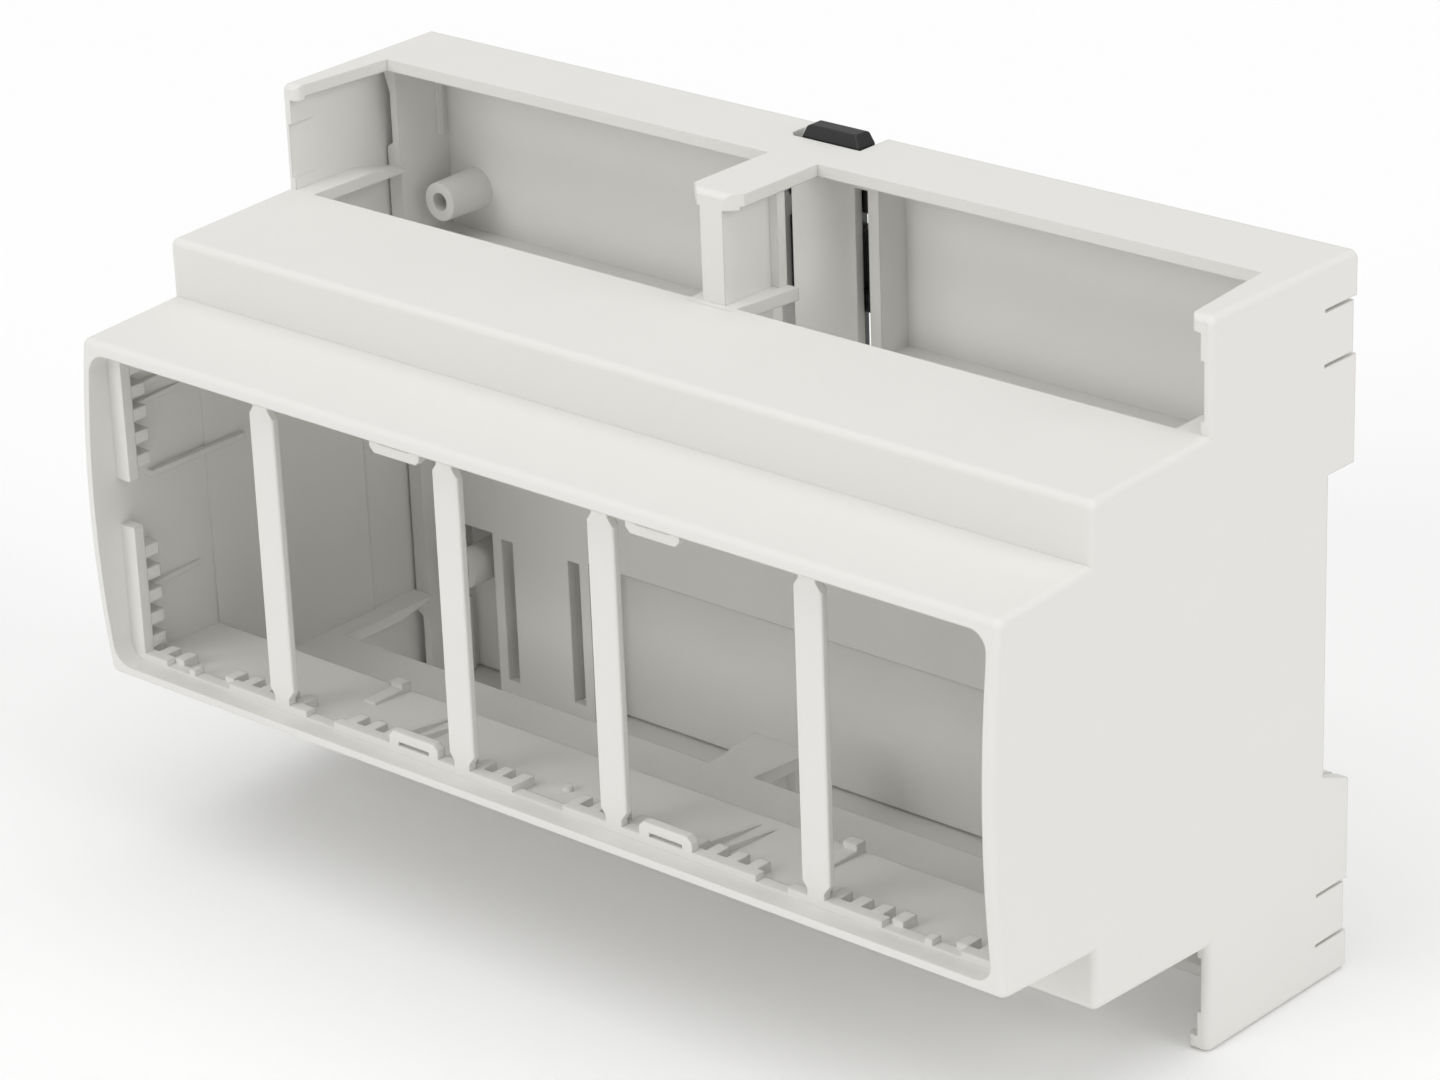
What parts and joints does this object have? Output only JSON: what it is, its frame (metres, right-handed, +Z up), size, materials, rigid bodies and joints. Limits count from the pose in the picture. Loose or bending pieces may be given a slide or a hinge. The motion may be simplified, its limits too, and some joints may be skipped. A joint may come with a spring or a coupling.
{
  "type": "din rail enclosure",
  "caption": "Light grey housing for a 35 mm rail: stepped body, open front window with break-out bars, open terminal bays, snap-in base with screw bosses, and a sliding black rail latch.",
  "frame": {"origin": "middle of the rail seat, at mid-height and mid-width, on the face that the rail's flanges touch", "axes": "+X to the right seen from the front, +Y towards the wall behind the rail, +Z up"},
  "size_m": [0.144, 0.065, 0.0915],
  "materials": {
    "shell_plastic": "matt light grey moulding",
    "base_plastic": "matt light grey moulding",
    "latch_plastic": "matt black moulding"
  },
  "bodies": {
    "housing": {"front_shell": "shell_plastic", "base": "base_plastic"},
    "latch": {"rail_latch": "latch_plastic"}
  },
  "joints": [
    {"name": "latch_slide", "type": "slide", "parent": "housing", "child": "latch", "axis": [0, 0, 1], "range_m": [0, 0.003], "stiffness_N_per_m": 900}
  ]
}
